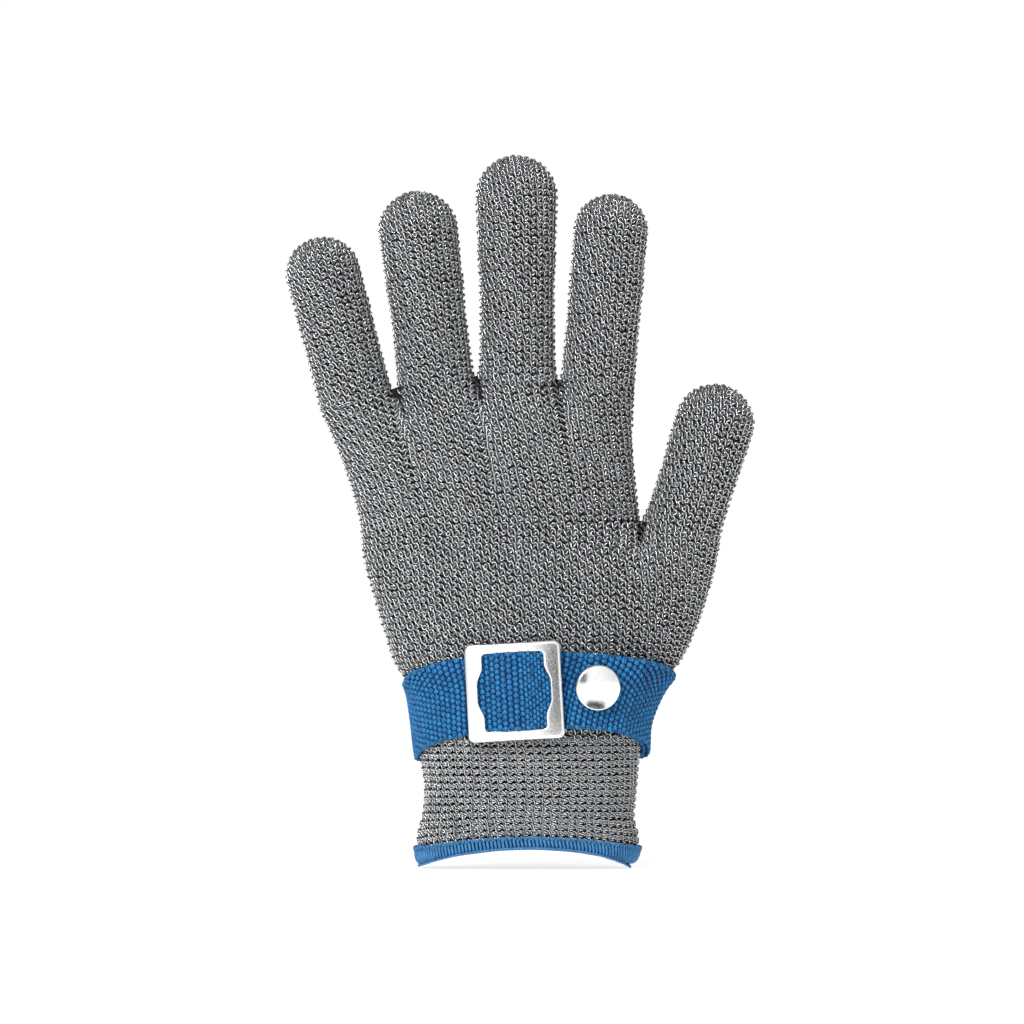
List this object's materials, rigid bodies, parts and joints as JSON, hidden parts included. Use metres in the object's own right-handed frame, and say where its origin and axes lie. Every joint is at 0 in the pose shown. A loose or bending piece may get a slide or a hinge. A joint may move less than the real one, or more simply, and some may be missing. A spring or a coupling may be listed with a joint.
{
  "type": "cut resistant glove",
  "caption": "Wire-knit glove for a left hand with a ribbed cuff, overlocked hem, webbing wrist strap, slide buckle and snap fastener.",
  "frame": {"origin": "middle of the wrist opening, level with the lowest points of its hem", "axes": "+Z from the wrist opening to the fingertips, +X towards the thumb, -Y out of the back of the hand, where the buckle and snap are; rest pose has every finger straight, the flap snapped shut and the buckle at its place nearest the snap"},
  "size_m": [0.1517, 0.0585, 0.2313],
  "materials": {
    "wire_knit": "knitted grey yarn wrapped in bright stainless wire",
    "blue_webbing": "woven blue polyester webbing",
    "blue_thread": "overlocked blue thread",
    "stainless_steel": "satin stainless steel, polished on the cap"
  },
  "bodies": {
    "palm": {"heel_knit": "wire_knit", "palm_knit": "wire_knit", "strap_band": "blue_webbing", "snap_post": "stainless_steel", "snap_stud": "stainless_steel"},
    "cuff": {"cuff_knit": "wire_knit", "cuff_hem": "blue_thread"},
    "buckle": {"buckle_frame": "stainless_steel", "strap_bridge": "blue_webbing"},
    "flap": {"strap_flap": "blue_webbing", "snap_cap": "stainless_steel", "snap_socket": "stainless_steel"},
    "thumb_proximal": {"thumb_proximal": "wire_knit"},
    "thumb_distal": {"thumb_distal": "wire_knit"},
    "index_proximal": {"index_proximal": "wire_knit"},
    "index_middle": {"index_middle": "wire_knit"},
    "index_distal": {"index_distal": "wire_knit"},
    "middle_proximal": {"middle_proximal": "wire_knit"},
    "middle_middle": {"middle_middle": "wire_knit"},
    "middle_distal": {"middle_distal": "wire_knit"},
    "ring_proximal": {"ring_proximal": "wire_knit"},
    "ring_middle": {"ring_middle": "wire_knit"},
    "ring_distal": {"ring_distal": "wire_knit"},
    "little_proximal": {"little_proximal": "wire_knit"},
    "little_middle": {"little_middle": "wire_knit"},
    "little_distal": {"little_distal": "wire_knit"}
  },
  "joints": [
    {"name": "wrist_fold", "type": "hinge", "parent": "palm", "child": "cuff", "pos_m": [0, 0, 0.027], "axis": [1, 0, 0], "range_deg": [-15, 15]},
    {"name": "buckle_slide", "type": "hinge", "parent": "palm", "child": "buckle", "pos_m": [-0.00056, 0.03517, 0.05715], "axis": [0.0573, -0.0432, -0.9974], "range_deg": [0, 7]},
    {"name": "flap_open", "type": "hinge", "parent": "palm", "child": "flap", "pos_m": [0.01358, -0.02729, 0.05741], "axis": [-0.2694, -0.0329, -0.9625], "range_deg": [0, 55]},
    {"name": "thumb_knuckle", "type": "hinge", "parent": "palm", "child": "thumb_proximal", "pos_m": [0.0495, 0.0038, 0.10835], "axis": [-0.9576, 0, 0.288], "range_deg": [0, 45]},
    {"name": "thumb_tip_fold", "type": "hinge", "parent": "thumb_proximal", "child": "thumb_distal", "pos_m": [0.05839, 0.0038, 0.13792], "axis": [-0.9576, 0, 0.288], "range_deg": [0, 60]},
    {"name": "index_knuckle", "type": "hinge", "parent": "palm", "child": "index_proximal", "pos_m": [0.02212, 0.0038, 0.15695], "axis": [-0.9961, 0, 0.0885], "range_deg": [0, 60]},
    {"name": "index_middle_fold", "type": "hinge", "parent": "index_proximal", "child": "index_middle", "pos_m": [0.02443, 0.0038, 0.18286], "axis": [-0.9961, 0, 0.0885], "range_deg": [0, 80]},
    {"name": "index_tip_fold", "type": "hinge", "parent": "index_middle", "child": "index_distal", "pos_m": [0.02602, 0.0038, 0.20076], "axis": [-0.9961, 0, 0.0885], "range_deg": [0, 50]},
    {"name": "middle_knuckle", "type": "hinge", "parent": "palm", "child": "middle_proximal", "pos_m": [-0.00392, 0.0038, 0.15795], "axis": [-1, 0, -0.0046], "range_deg": [0, 60]},
    {"name": "middle_middle_fold", "type": "hinge", "parent": "middle_proximal", "child": "middle_middle", "pos_m": [-0.00407, 0.0038, 0.18876], "axis": [-1, 0, -0.0046], "range_deg": [0, 80]},
    {"name": "middle_tip_fold", "type": "hinge", "parent": "middle_middle", "child": "middle_distal", "pos_m": [-0.00417, 0.0038, 0.21003], "axis": [-1, 0, -0.0046], "range_deg": [0, 50]},
    {"name": "ring_knuckle", "type": "hinge", "parent": "palm", "child": "ring_proximal", "pos_m": [-0.0303, 0.0038, 0.1566], "axis": [-0.9933, 0, -0.1157], "range_deg": [0, 60]},
    {"name": "ring_middle_fold", "type": "hinge", "parent": "ring_proximal", "child": "ring_middle", "pos_m": [-0.03338, 0.0038, 0.18307], "axis": [-0.9933, 0, -0.1157], "range_deg": [0, 80]},
    {"name": "ring_tip_fold", "type": "hinge", "parent": "ring_middle", "child": "ring_distal", "pos_m": [-0.03551, 0.0038, 0.20134], "axis": [-0.9933, 0, -0.1157], "range_deg": [0, 50]},
    {"name": "little_knuckle", "type": "hinge", "parent": "palm", "child": "little_proximal", "pos_m": [-0.05635, 0.0038, 0.1514], "axis": [-0.9682, 0, -0.2503], "range_deg": [0, 60]},
    {"name": "little_middle_fold", "type": "hinge", "parent": "little_proximal", "child": "little_middle", "pos_m": [-0.06211, 0.0038, 0.17366], "axis": [-0.9682, 0, -0.2503], "range_deg": [0, 80]},
    {"name": "little_tip_fold", "type": "hinge", "parent": "little_middle", "child": "little_distal", "pos_m": [-0.06608, 0.0038, 0.18903], "axis": [-0.9682, 0, -0.2503], "range_deg": [0, 50]}
  ]
}
